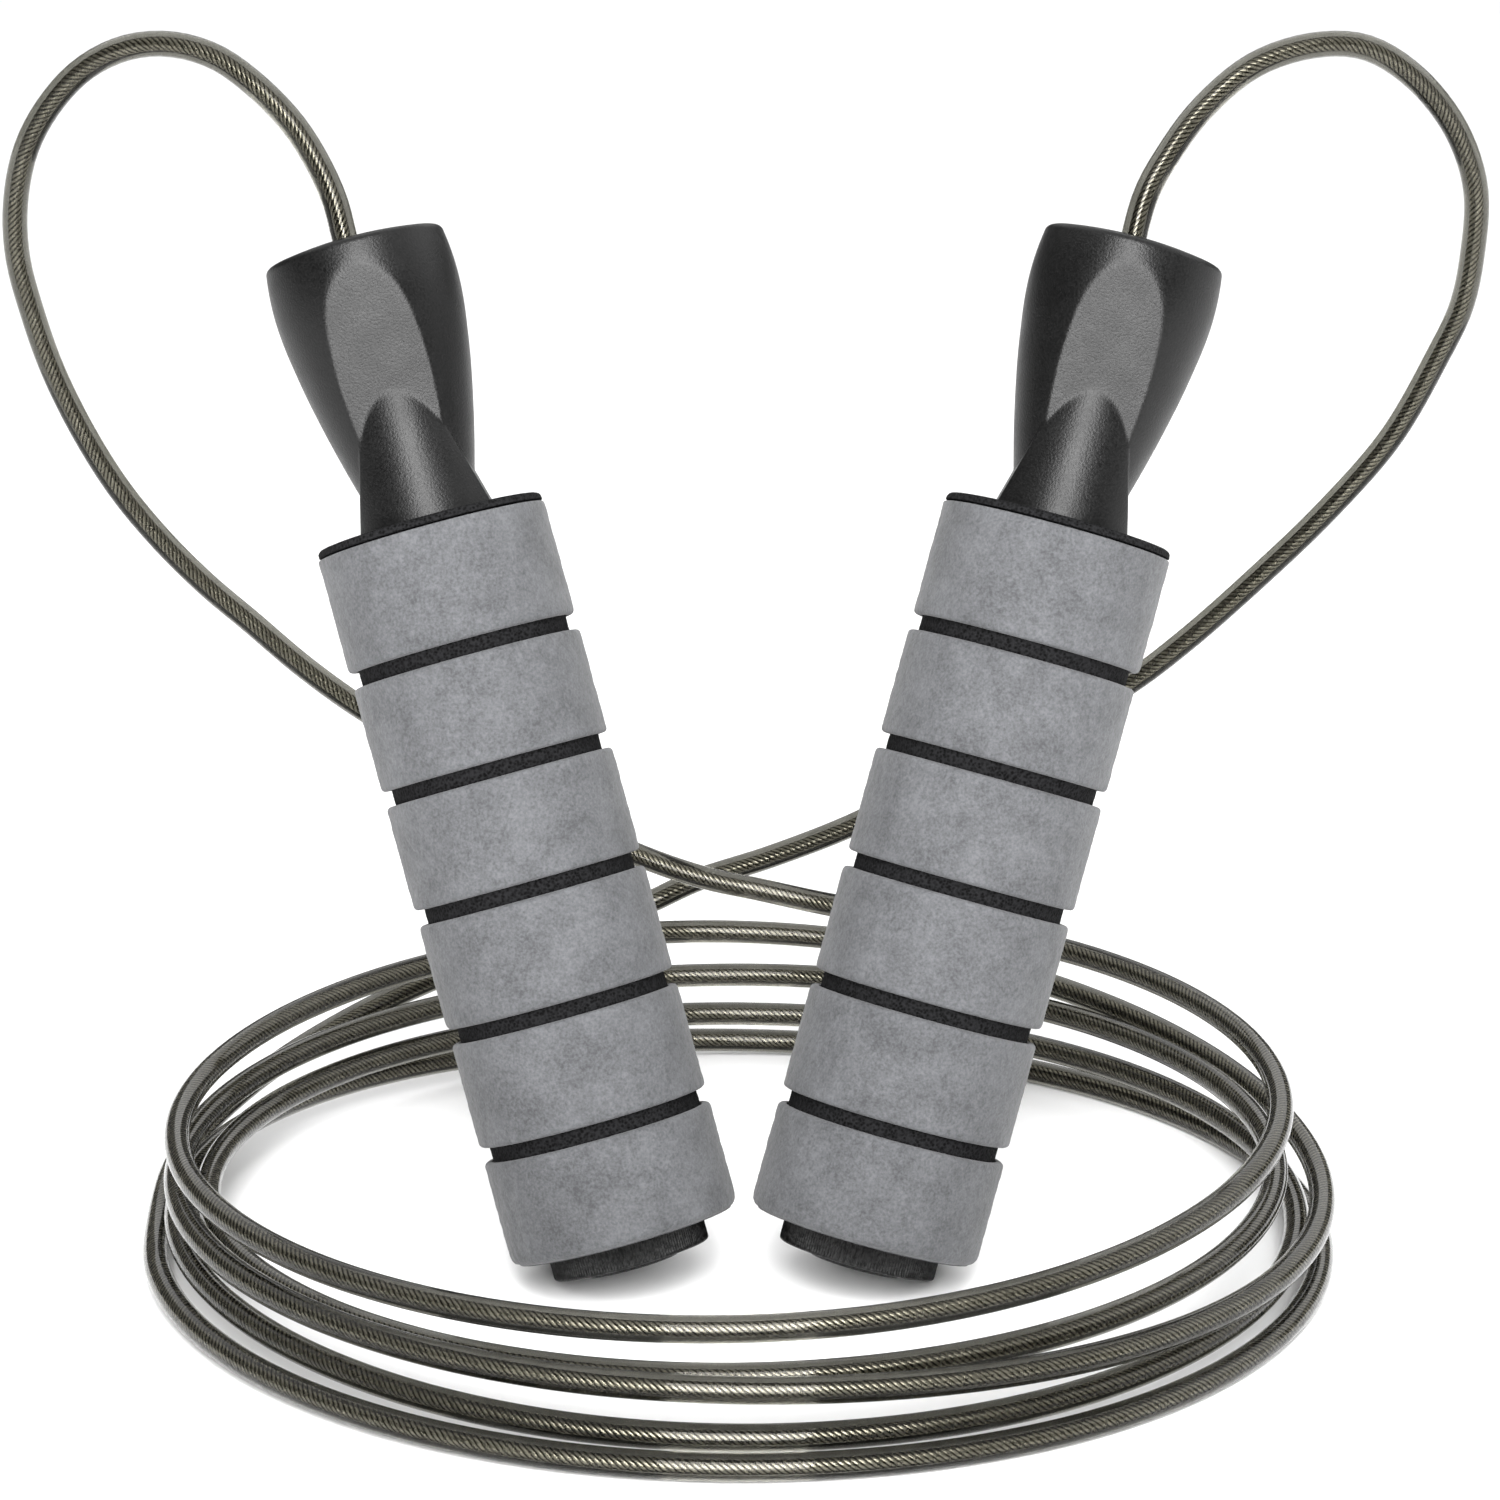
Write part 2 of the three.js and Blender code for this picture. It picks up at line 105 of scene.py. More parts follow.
# The coil: its centre in metres, then (radius, height) in millimetres at the back, right, front and left
# of each turn, seen from above, and in degrees where it starts and how far apart its points are.
COIL_CENTRE = (0, 0.001)
COIL_TURNS = [
    [(84, 29), (83, 25.2), (83, 18.7), (88, 20)],
    [(88.3, 23), (89.8, 10.8), (88, 11.7), (88, 13.7)],
    [(88, 15.3), (82.5, 14.2), (83, 11.6), (83.5, 10.5)],
    [(88.5, 8), (86, 6.5), (88, 4.6), (88.2, 7.6)],
    [(90, 2.6), (89.6, 2.1), (92.3, 2.1), (91.6, 3.5)],
]
COIL_START = 30
COIL_STEP = 15


# ---------------------------------------------------------------- camera, floor and lights

def make_camera():
    """Stands in front, 15 degrees above the horizon, at the photograph's angle and distance."""
    target = Vector((0.0009, -0.0021, 0.0803))
    elevation = math.radians(15)
    distance = 0.7
    back = Vector((0, -math.cos(elevation), math.sin(elevation)))
    data = bpy.data.cameras.new("camera")
    data.sensor_width = 36
    data.lens = 110.7
    camera = bpy.data.objects.new("camera", data)
    camera.location = target + back * distance
    camera.rotation_euler = (-back).to_track_quat("-Z", "Y").to_euler()
    bpy.context.collection.objects.link(camera)
    bpy.context.scene.camera = camera


def make_area_light(name, place, aim, size, power):
    data = bpy.data.lights.new(name, "AREA")
    data.shape = "RECTANGLE"
    data.size, data.size_y = size
    data.energy = power
    light = bpy.data.objects.new(name, data)
    light.location = place
    light.rotation_euler = (Vector(aim) - Vector(place)).to_track_quat("-Z", "Y").to_euler()
    bpy.context.collection.objects.link(light)


def make_lights():
    """A wide soft sky for the floor, a tall narrow softbox in front and a large weak panel at the right."""
    overhead = bpy.data.lights.new("overhead", "SUN")
    overhead.energy = 3.0
    overhead.angle = math.radians(120)
    sun = bpy.data.objects.new("overhead", overhead)
    sun.rotation_euler = (math.radians(-12), math.radians(8), 0)
    bpy.context.collection.objects.link(sun)
    make_area_light("front_softbox", (0, -1.0, 0.55), (0, 0, 0.1), (0.5, 1.2), 40)
    make_area_light("side_panel", (1.2, 0.1, 0.5), (0, 0, 0.08), (1.0, 1.0), 3)
    world = bpy.data.worlds.new("studio")
    world.use_nodes = True
    world.node_tree.nodes["Background"].inputs["Color"].default_value = (1, 1, 1, 1)
    world.node_tree.nodes["Background"].inputs["Strength"].default_value = 0.12
    bpy.context.scene.world = world
    bpy.context.scene.view_settings.view_transform = "Standard"


def make_floor():
    """A large sheet of plain pale paper."""
    half = 14
    data = bpy.data.meshes.new("floor")
    corners = [(-half, -half, 0), (half, -half, 0), (half, half, 0), (-half, half, 0)]
    data.from_pydata(corners, [], [(0, 1, 2, 3)])
    material, tree = new_material("floor_paper", Roughness=0.9)
    shade = noise_value(tree, 400, detail=2)
    paint(tree, tinted(tree, shade, (0.9, 0.9, 0.9), (0.92, 0.92, 0.92)))
    data.materials.append(material)
    floor = bpy.data.objects.new("floor", data)
    bpy.context.collection.objects.link(floor)


# ---------------------------------------------------------------- material tools

def new_material(name, **sockets):
    """A Principled material with its uniform values set on the shader's own sockets."""
    material = bpy.data.materials.new(name)
    material.use_nodes = True
    tree = material.node_tree
    shader = tree.nodes["Principled BSDF"]
    for socket, value in sockets.items():
        shader.inputs[socket.replace("_", " ")].default_value = value
    return material, tree


def add_node(tree, kind, **sockets):
    """Adds a shader node; each named socket gets a value, or a link from another node's output."""
    made = tree.nodes.new("ShaderNode" + kind)
    for socket, value in sockets.items():
        place = made.inputs[int(socket[1:]) if socket[0] == "_" else socket.replace("_", " ")]
        if isinstance(value, bpy.types.NodeSocket):
            tree.links.new(value, place)
        else:
            place.default_value = value
    return made


def object_place(tree):
    return add_node(tree, "TexCoord").outputs["Object"]


def noise_value(tree, size_mm, detail=2.0, roughness=0.5):
    """Noise whose patches are about size_mm across, the same on every side of a piece."""
    texture = add_node(tree, "TexNoise", Vector=object_place(tree), Scale=1 / (size_mm * MM), Detail=detail,
                       Roughness=roughness)
    return texture.outputs["Fac"]


def calculated(tree, operation, first, second=0.0, third=0.0):
    made = add_node(tree, "Math", _0=first, _1=second, _2=third)
    made.operation = operation
    return made.outputs[0]


def tinted(tree, value, low_colour, high_colour, low=0.3, high=0.7):
    """A colour that runs from low_colour to high_colour as value runs from low to high."""
    ramp = add_node(tree, "ValToRGB", Fac=value)
    first, last = ramp.color_ramp.elements
    first.position, first.color = low, (*low_colour, 1)
    last.position, last.color = high, (*high_colour, 1)
    return ramp.outputs["Color"]


def paint(tree, colour):
    tree.links.new(colour, tree.nodes["Principled BSDF"].inputs["Base Color"])


def roughen(tree, value, low, high):
    """Lets the roughness vary between two values with a noise."""
    spread = add_node(tree, "MapRange", Value=value, _1=0.3, _2=0.7, _3=low, _4=high)
    tree.links.new(spread.outputs["Result"], tree.nodes["Principled BSDF"].inputs["Roughness"])


def emboss(tree, *reliefs):
    """Chains bumps from (height value, depth in millimetres, strength) triples."""
    normal = None
    for height, depth_mm, strength in reliefs:
        bump = add_node(tree, "Bump", Height=height, Distance=depth_mm * MM, Strength=strength)
        if normal is not None:
            tree.links.new(normal, bump.inputs["Normal"])
        normal = bump.outputs["Normal"]
    tree.links.new(normal, tree.nodes["Principled BSDF"].inputs["Normal"])


# ---------------------------------------------------------------- materials

def grey_foam():
    """Brushed grey foam skin: cloudy patches, felt-like mottling and a fine nap."""
    material, tree = new_material("grey_foam", Roughness=0.95, Sheen_Weight=0.1, Sheen_Roughness=0.5)
    clouds = noise_value(tree, 6, detail=1)
    mottles = noise_value(tree, 1.1, detail=1)
    nap = noise_value(tree, 0.42, detail=1, roughness=0.6)
    fine = calculated(tree, "MULTIPLY_ADD", mottles, 0.25, calculated(tree, "MULTIPLY", nap, 0.45))
    mixed = calculated(tree, "MULTIPLY_ADD", clouds, 0.3, fine)
    paint(tree, tinted(tree, mixed, (0.037, 0.038, 0.0405), (0.089, 0.091, 0.0965), 0.34, 0.66))
    emboss(tree, (mottles, 0.1, 0.3), (nap, 0.1, 0.8))
    return material


def black_foam():
    """Open-cell black foam where the skin is cut away."""
    material, tree = new_material("black_foam", Roughness=0.95, Specular_IOR_Level=0.1)
    cells = add_node(tree, "TexVoronoi", Vector=object_place(tree), Scale=1 / (0.5 * MM)).outputs["Distance"]
    grain = noise_value(tree, 0.35, detail=2)
    mixed = calculated(tree, "MULTIPLY_ADD", cells, 0.5, calculated(tree, "MULTIPLY", grain, 0.5))
    paint(tree, tinted(tree, mixed, (0.0003, 0.0003, 0.0003), (0.0103, 0.0103, 0.011), 0.3, 0.62))
    emboss(tree, (cells, 0.25, 0.7), (grain, 0.1, 0.6))
    return material


def head_plastic():
    """Satin black plastic with a fine spark-eroded grain."""
    material, tree = new_material("head_plastic", Specular_IOR_Level=0.26)
    grain = noise_value(tree, 0.34, detail=2, roughness=0.6)
    haze = noise_value(tree, 5, detail=3)
    paint(tree, tinted(tree, grain, (0.001, 0.001, 0.001), (0.005, 0.005, 0.005)))
    mixed = calculated(tree, "MULTIPLY_ADD", haze, 0.4, calculated(tree, "MULTIPLY", grain, 0.6))
    roughen(tree, mixed, 0.29, 0.45)
    emboss(tree, (grain, 0.065, 0.9))
    return material


def cap_plastic():
    """Matt black plastic of the ridged plug, with a coarse stipple."""
    material, tree = new_material("cap_plastic", Specular_IOR_Level=0.2)
    stipple = noise_value(tree, 0.62, detail=1)
    grain = noise_value(tree, 0.35, detail=2)
    paint(tree, tinted(tree, stipple, (0.0005, 0.0005, 0.0005), (0.012, 0.012, 0.012), 0.38, 0.62))
    roughen(tree, grain, 0.42, 0.6)
    emboss(tree, (stipple, 0.2, 0.9), (grain, 0.08, 0.8))
    return material


def cord_sheath():
    """Smoky see-through coating of the cord."""
    material, tree = new_material("cord_sheath", Transmission_Weight=1.0, IOR=1.45,
                                  Specular_Tint=(0.3, 0.29, 0.27, 1))
    haze = noise_value(tree, 4, detail=2)
    paint(tree, tinted(tree, haze, (0.118, 0.115, 0.098), (0.148, 0.145, 0.125)))
    roughen(tree, haze, 0.04, 0.08)
    return material


# The steel inside the coating.
STRANDS = 6
STRAND_PITCH = 1.0 * MM
STEEL_RADIUS = 0.72 * MM


def cord_core():
    """Twisted steel strands inside the coating. The mesh's UVs hold (distance along, share of a turn)."""
    material, tree = new_material("cord_core", Metallic=1.0)
    place = add_node(tree, "SeparateXYZ", Vector=add_node(tree, "TexCoord").outputs["UV"])
    turns = calculated(tree, "MULTIPLY", place.outputs["Y"], -STRANDS)
    lay = calculated(tree, "MULTIPLY_ADD", place.outputs["X"], 1 / STRAND_PITCH, turns)
    across = calculated(tree, "MULTIPLY", calculated(tree, "FRACT", lay), math.pi)
    crown = calculated(tree, "SINE", across)
    # Painted shade: the base colour runs from near black in the gaps between strands, where shade falls, to
    # pale steel on their crowns
    paint(tree, tinted(tree, crown, (0.06, 0.055, 0.045), (0.92, 0.89, 0.8), 0.25, 0.9))
    roughen(tree, noise_value(tree, 0.8), 0.24, 0.32)
    emboss(tree, (crown, 0.05, 1.0))
    return material


def bare_metal(name, colour, low_rough, high_rough):
    """Machined metal with a faint stain and fine tool marks."""
    material, tree = new_material(name, Metallic=1.0)
    stain = noise_value(tree, 2.5, detail=3)
    marks = noise_value(tree, 0.15, detail=2)
    paint(tree, tinted(tree, stain, tuple(0.82 * part for part in colour), colour))
    roughen(tree, marks, low_rough, high_rough)
    emboss(tree, (marks, 0.01, 0.5))
    return material


# ---------------------------------------------------------------- mesh tools

def handle_matrix(side):
    """From a handle's own frame, with its foot at the origin and its front along -Y, to the shared frame."""
    joint = next(j for j in frame["joints"] if j["name"] == f"{side}_spin")
    up = Vector(joint["axis"]).normalized()
    back = up.cross(Vector((1, 0, 0))).normalized()
    matrix = Matrix((back.cross(up), back, up)).transposed().to_4x4()
    return Matrix.Translation(joint["pos_m"]) @ matrix


def make_piece(name, points, faces, material, body, nodes=()):
    data = bpy.data.meshes.new(name)
    data.from_pydata(points, [], faces)
    shell = bmesh.new()
    shell.from_mesh(data)
    bmesh.ops.recalc_face_normals(shell, faces=shell.faces)
    shell.to_mesh(data)
    shell.free()
    data.shade_smooth()
    data.materials.append(material)
    piece = bpy.data.objects.new(name, data)
    bpy.context.collection.objects.link(piece)
    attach(piece, body)
    if nodes:
        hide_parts(*nodes)
    return piece


def ring_faces(ring_count, segments, closed):
    """Quads between neighbouring rings. A closed skin joins its two end rings; an open one is capped."""
    faces = []
    for i in range(ring_count if closed else ring_count - 1):
        low, high = i * segments, (i + 1) % ring_count * segments
        faces += [(low + j, low + (j + 1) % segments, high + (j + 1) % segments, high + j)
                  for j in range(segments)]
    if not closed:
        faces.append(tuple(range(segments - 1, -1, -1)))
        faces.append(tuple(range((ring_count - 1) * segments, ring_count * segments)))
    return faces


def rounded(corners, step=0.9):
    """A closed (radius, height) profile from (radius, height, fillet) corners.

    Its points are at most a step apart.
    """
    corner_arcs = []
    count = len(corners)
    for i, (radius, height, fillet) in enumerate(corners):
        here = Vector((radius, height))
        before = (Vector(corners[i - 1][:2]) - here).normalized()
        after = (Vector(corners[(i + 1) % count][:2]) - here).normalized()
        if fillet == 0:
            corner_arcs.append([here])
            continue
        start, end = here + before * fillet, here + after * fillet
        arc = [start.lerp(here, t / 4).lerp(here.lerp(end, t / 4), t / 4) for t in range(5)]
        corner_arcs.append(arc)
    points = [point for arc in corner_arcs for point in arc]
    profile = []
    for i, point in enumerate(points):
        following = points[(i + 1) % len(points)]
        pieces = max(1, math.ceil((following - point).length / step))
        profile += [point.lerp(following, t / pieces) for t in range(pieces)]
    return profile


def lathe_points(profile, segments, swell=None):
    """Rings in metres round +Z. swell(radius, angle, height) returns a new radius in millimetres."""
    points = []
    for radius, height in profile:
        for j in range(segments):
            angle = 2 * math.pi * j / segments
            reach = swell(radius, angle, height) if swell else radius
            points.append(Vector((reach * math.cos(angle), reach * math.sin(angle), height)) * MM)
    return points


def lathe(side, name, corners, material, body, segments=128, swell=None, step=0.9):
    """A closed turned piece on a handle's axis that replaces the CAD node of the same name."""
    profile = rounded(corners, step)
    matrix = handle_matrix(side)
    points = [matrix @ point for point in lathe_points(profile, segments, swell)]
    faces = ring_faces(len(profile), segments, closed=True)
    return make_piece(f"{side}_{name}_skin", points, faces, material, body, [f"{side}_{name}"])


# ---------------------------------------------------------------- cord

def smooth_curve(stations, places):
    """A cubic through (place, value, ...) stations, with slopes from each station's neighbours."""
    table = np.array(stations, float)
    at, values = table[:, 0], table[:, 1:]
    slopes = np.gradient(values, at, axis=0)
    i = np.clip(np.searchsorted(at, places) - 1, 0, len(at) - 2)
    width = (at[i + 1] - at[i])[:, None]
    t = (np.asarray(places)[:, None] - at[i][:, None]) / width
    return ((2 * t**3 - 3 * t**2 + 1) * values[i] + (t**3 - 2 * t**2 + t) * width * slopes[i]
            + (3 * t**2 - 2 * t**3) * values[i + 1] + (t**3 - t**2) * width * slopes[i + 1])


def coil_points():
    """The coiled turns, clockwise from above, from behind the handles to the left of the last turn."""
    stations = [(90.0 * i, *station) for i, station in enumerate(sum(COIL_TURNS, []))]
    angles = np.arange(COIL_START, stations[-1][0] + 1, COIL_STEP, dtype=float)
    radius, height = (smooth_curve(stations, angles) * MM).T
    turn = np.radians(angles)
    across = COIL_CENTRE[0] + radius * np.sin(turn)
    back = COIL_CENTRE[1] + radius * np.cos(turn)
    return np.stack([across, back, height], 1)


def inside_handle(side):
    """The cord's straight start, from the cord stop out through the spindle."""
    stop_top = BEARING_TOP - BEARING_WIDTH - 1.8
    heights = (CORD_TAIL, stop_top, BEARING_TOP, BEARING_TOP + 3)
    return [tuple(handle_matrix(side) @ Vector((0, 0, height * MM))) for height in heights]


def spline_through(points, spacing):
    """A centripetal Catmull-Rom curve through the points, resampled at an even spacing."""
    knots = np.array(points, float)
    knots = np.vstack([2 * knots[0] - knots[1], knots, 2 * knots[-1] - knots[-2]])
    fine = []
    for a, b, c, d in zip(knots, knots[1:], knots[2:], knots[3:]):
        times = np.cumsum([0] + [np.linalg.norm(q - p) ** 0.5 for p, q in ((a, b), (b, c), (c, d))])
        for t in np.linspace(times[1], times[2], 24, endpoint=False):
            fine.append(barycentric(t, times, (a, b, c, d)))
    fine.append(knots[-2])
    fine = np.array(fine)
    along = np.r_[0, np.cumsum(np.linalg.norm(np.diff(fine, axis=0), axis=1))]
    even = np.linspace(0, along[-1], round(along[-1] / spacing) + 1)
    return np.stack([np.interp(even, along, fine[:, axis]) for axis in range(3)], 1)


def barycentric(t, times, points):
    """One point of a Catmull-Rom span, by repeated straight mixing between its knots."""
    level = list(points)
    for order in (1, 2, 3):
        mixed = []
        for i in range(4 - order):
            low, high = (times[i], times[i + order]) if order < 3 else (times[1], times[2])
            share = (t - low) / (high - low)
            mixed.append(level[i] * (1 - share) + level[i + 1] * share)
        level = mixed
    return level[0]


def cord_path():
    route = (inside_handle("left") + LEFT_ROUTE + [tuple(p) for p in coil_points()] + CLIMB
             + RIGHT_ROUTE[::-1] + inside_handle("right")[::-1])
    return spline_through(route, 0.002)


def tube(name, path, radius, segments, material):
    """A round tube along the path. Its UVs hold the distance along and the share of a turn."""
    tangents = np.gradient(path, axis=0)
    tangents /= np.linalg.norm(tangents, axis=1)[:, None]
    side = np.cross(tangents[0], (0, 1, 0))
    angles = np.arange(segments) / segments * 2 * math.pi
    points = []
    for centre, tangent in zip(path, tangents):
        side = side - tangent * side.dot(tangent)
        side /= np.linalg.norm(side)
        other = np.cross(tangent, side)
        points.append(centre + radius * (np.outer(np.cos(angles), side) + np.outer(np.sin(angles), other)))
    faces = ring_faces(len(path), segments, closed=False)
    piece = make_piece(name, np.concatenate(points).tolist(), faces, material, "rope")
    write_tube_uvs(piece.data, path, segments)
    return piece


def write_tube_uvs(data, path, segments):
    """Writes them face by face, so that the face that closes a turn ends at 1 and not back at 0."""
    along = np.r_[0, np.cumsum(np.linalg.norm(np.diff(path, axis=0), axis=1))]
    layer = data.uv_layers.new(name="UVMap")
    for face in data.polygons:
        columns = [data.loops[i].vertex_index % segments for i in face.loop_indices]
        wraps = max(columns) - min(columns) > 1
        for i, column in zip(face.loop_indices, columns):
            row = data.loops[i].vertex_index // segments
            share = (column + segments if wraps and column == 0 else column) / segments
            layer.data[i].uv = (along[row], share)


def make_cord():
    """The coating and the steel inside it, on one path from cord stop to cord stop."""
    path = cord_path()
    sheath = tube("cord_sheath", path, CORD_RADIUS * MM, 24, cord_sheath())
    core = tube("cord_core", path, STEEL_RADIUS, 12, cord_core())
    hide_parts("cord_left_arc", "cord_coil", "cord_right_arc")


# ---------------------------------------------------------------- handles

# The head's tulip, as (distance below the top, radius), and the depth of its front and back flats.
TULIP = [
    (0, 13.8), (2, 14.1), (4.3, 14.33), (8, 14.43), (12.4, 14.12), (16, 13.62), (20.9, 12.81), (24.6, 12.06),
    (28.2, 11.26), (31.9, 10.37), (35.5, 9.43), (39, 8.45), (HEAD_LENGTH, 7.1),
]
TULIP_FLAT_DEPTH = 15.15
TULIP_FLAT_LEAN = 0.215
# The neck: a cone that widens to the grip, with a flat at each side.
NECK_TOP_RADIUS = 9.72
NECK_TOP_BELOW = 20
NECK_FLAT_WIDTH = 10.3
NECK_FLAT_LEAN = 0.27
# How soft the edges are: of the front flats, which soften towards the top, of the neck's flats, and of
# the crease between tulip and neck.
FLAT_EDGE = 0.07
SOFTER_AT_TOP = 0.1
NECK_EDGE = 0.12
CREASE_EDGE = 0.08
TOP_FILLET = 1.1
CROWN = 1.3
CROWN_RADIUS = 13
HEAD_SEGMENTS = 400
HEAD_ROWS = 170


def softer_max(first, second, softness):
    """The larger of two values, with the corner between them rounded off."""
    return softness * np.logaddexp(first / softness, second / softness)


def softer_min(first, second, softness):
    return -softer_max(-first, -second, softness)


def head_radius(angles, below):
    """The head's outline round the axis: a tulip with two flats, over a neck with flats at its sides."""
    tulip = smooth_curve(TULIP, [below])[0, 0]
    front_flat = (TULIP_FLAT_DEPTH - TULIP_FLAT_LEAN * below) / np.maximum(np.abs(np.sin(angles)), 0.05)
    edge = FLAT_EDGE + SOFTER_AT_TOP * math.exp(-((below / 7) ** 2))
    upper = softer_min(tulip, front_flat, edge)
    slope = (CORE_RADIUS - NECK_TOP_RADIUS) / (HEAD_LENGTH - NECK_TOP_BELOW)
    neck = NECK_TOP_RADIUS + slope * (below - NECK_TOP_BELOW)
    side_flat = NECK_FLAT_WIDTH - NECK_FLAT_LEAN * (HEAD_LENGTH - below)
    side_flat = max(side_flat, 1) / np.maximum(np.abs(np.cos(angles)), 0.05)
    lower = softer_min(neck, side_flat, NECK_EDGE)
    return softer_max(upper, lower, CREASE_EDGE)


def head_rings():
    """(radii, height) of the head's outside from the grip up, with a rounded top edge."""
    angles = np.arange(HEAD_SEGMENTS) / HEAD_SEGMENTS * 2 * math.pi
    rings = []
    for below in np.linspace(HEAD_LENGTH, TOP_FILLET, HEAD_ROWS):
        rings.append((head_radius(angles, below), HANDLE_LENGTH - below))
    rim = head_radius(angles, TOP_FILLET)
    for step in range(1, 7):
        turn = step / 6 * math.pi / 2
        height = HANDLE_LENGTH - TOP_FILLET * (1 - math.sin(turn))
        rings.append((rim - TOP_FILLET * (1 - math.cos(turn)), height))
    return rings


def shell_rings():
    """The whole shell as rings: core tube, head, top face, then down the flared hole and the pocket."""
    shoulder = BEARING_TOP + GAP
    flange_room = shoulder + 2
    pocket = BEARING_RADIUS + GAP
    crowned = [(radius, HANDLE_LENGTH + CROWN * (1 - (radius / CROWN_RADIUS) ** 2))
               for radius in (12, 10.5, 9, 7.5, 5.8)]
    mouth = HANDLE_LENGTH + CROWN
    inside = crowned + [
        (5.2, mouth - 0.4), (4.8, mouth - 0.9), (3.5, mouth - 5), (3, flange_room + 1.5), (3, flange_room),
        (6.3, flange_room), (6.3, shoulder), (pocket, shoulder), (pocket, GRIP_END - 4),
        (CORE_BORE, GRIP_END - 6), (CORE_BORE, GRIP_START),
    ]
    even = np.ones(HEAD_SEGMENTS)
    core = [(even * CORE_RADIUS, GRIP_START), (even * CORE_RADIUS, GRIP_END - 0.5)]
    return core + head_rings() + [(even * radius, height) for radius, height in inside]


def handle_shell(side, material):
    matrix = handle_matrix(side)
    angles = np.arange(HEAD_SEGMENTS) / HEAD_SEGMENTS * 2 * math.pi
    rings = shell_rings()
    points = []
    for radii, height in rings:
        points += [matrix @ (Vector((r * math.cos(a), r * math.sin(a), height)) * MM)
                   for r, a in zip(radii, angles)]
    faces = ring_faces(len(rings), HEAD_SEGMENTS, closed=True)
    make_piece(f"{side}_handle_shell_skin", points, faces, material, f"{side}_handle",
               [f"{side}_handle_shell"])


def uneven(side, depth_mm, size_mm):
    """A swell function that makes foam slightly uneven, differently on each handle."""
    shift = 50 * SIDES.index(side)

    def swell(radius, angle, height):
        place = Vector((radius * math.cos(angle), radius * math.sin(angle), height + shift)) / size_mm
        return radius + depth_mm * noise.noise(place)
    return swell


def foam_sleeve(side, material):
    inner = CORE_RADIUS + GAP
    rim_radius = GRIP_RADIUS - 0.2
    corners = [
        (inner, GRIP_START + 0.6, 0), (SLEEVE_RADIUS, GRIP_START + 0.6, 0.4),
        (SLEEVE_RADIUS, GRIP_END - RIM_HEIGHT, 0), (rim_radius, GRIP_END - RIM_HEIGHT, 0.15),
        (rim_radius, GRIP_END, 1.0), (inner, GRIP_END, 0.3),
    ]
    lathe(side, "foam_sleeve", corners, material, f"{side}_handle", 256,
          uneven(side, 0.12, 0.9))


def foam_band(side, index, material):
    inner = SLEEVE_RADIUS + GAP
    low = GRIP_START + (BAND_COUNT - 1 - index) * BAND_PITCH
    high = low + (TOP_BAND_LENGTH if index == 0 else BAND_LENGTH)
    low_round = 1.9 if index == BAND_COUNT - 1 else 0.8
    high_round = 0.3 if index == 0 else 0.8
    corners = [
        (inner, low, 0.1), (GRIP_RADIUS, low, low_round), (GRIP_RADIUS, high, high_round), (inner, high, 0.1),
    ]
    lathe(side, f"foam_band_{index + 1}", corners, material, f"{side}_handle", 256,
          uneven(side, 0.1, 1.3), step=0.45)


# The end cap's fine ridges, the low boss under it and its spigot in the core tube, in millimetres.
RIDGES = 160
RIDGE_DEPTH = 0.3
BOSS_RADIUS = 7.3
BOSS_HEIGHT = 0.9
SPIGOT_LENGTH = 11
SPIGOT_WALL = 1.8


def ridged(radius, angle, height):
    """Fine ridges along the axis on the cap's outer rim."""
    on_rim = radius > CAP_RADIUS - 0.05 and height > 0.4
    return radius - RIDGE_DEPTH * (0.5 + 0.5 * math.cos(RIDGES * angle)) if on_rim else radius


def end_cap(side, material):
    spigot = CORE_BORE - GAP
    hollow = spigot - SPIGOT_WALL
    end = CAP_HEIGHT + SPIGOT_LENGTH
    ceiling = CAP_HEIGHT - 1
    corners = [
        (0.2, -BOSS_HEIGHT, 0), (BOSS_RADIUS - 0.2, -BOSS_HEIGHT, 0.4), (BOSS_RADIUS, 0, 0.1),
        (CAP_RADIUS, 0, 0.6), (CAP_RADIUS, CAP_HEIGHT, 0.1), (spigot, CAP_HEIGHT, 0),
        (spigot - 0.2, end, 0.3), (hollow, end, 0.3), (hollow, ceiling, 0), (0.2, ceiling, 0),
    ]
    lathe(side, "end_cap", corners, material, f"{side}_handle", 4 * RIDGES, ridged, step=0.8)


# The bearing, in millimetres: its rings, its balls in their cage, and the spindle and washer in its bore.
OUTER_RACE = 6.1
INNER_RACE = 4.4
INNER_BORE = 3.05
RACE_DEPTH = 0.5
BALL_COUNT = 7
BALL_RADIUS = 1.1
BALL_PITCH = 5.25
CAGE_RADIUS = 0.4
CAGE_STEPS = 168
CAGE_SIDES = 16
SPINDLE_RADIUS = 2.75
FLANGE_RADIUS = 4.3
WASHER_RADIUS = 5.2


def bearing_ring(side, name, race, plain, material, body):
    """A bearing ring with a groove for the balls in its race."""
    low, middle = BEARING_TOP - BEARING_WIDTH, BEARING_TOP - BEARING_WIDTH / 2
    groove = race + math.copysign(RACE_DEPTH, plain - race)
    corners = [
        (race, low, 0.1), (plain, low, 0.3), (plain, BEARING_TOP, 0.3), (race, BEARING_TOP, 0.1),
        (race, middle + 2 * RACE_DEPTH, 0), (groove, middle + RACE_DEPTH, 0.2),
        (groove, middle - RACE_DEPTH, 0.2), (race, middle - 2 * RACE_DEPTH, 0),
    ]
    lathe(side, name, corners, material, body, 96, step=0.5)


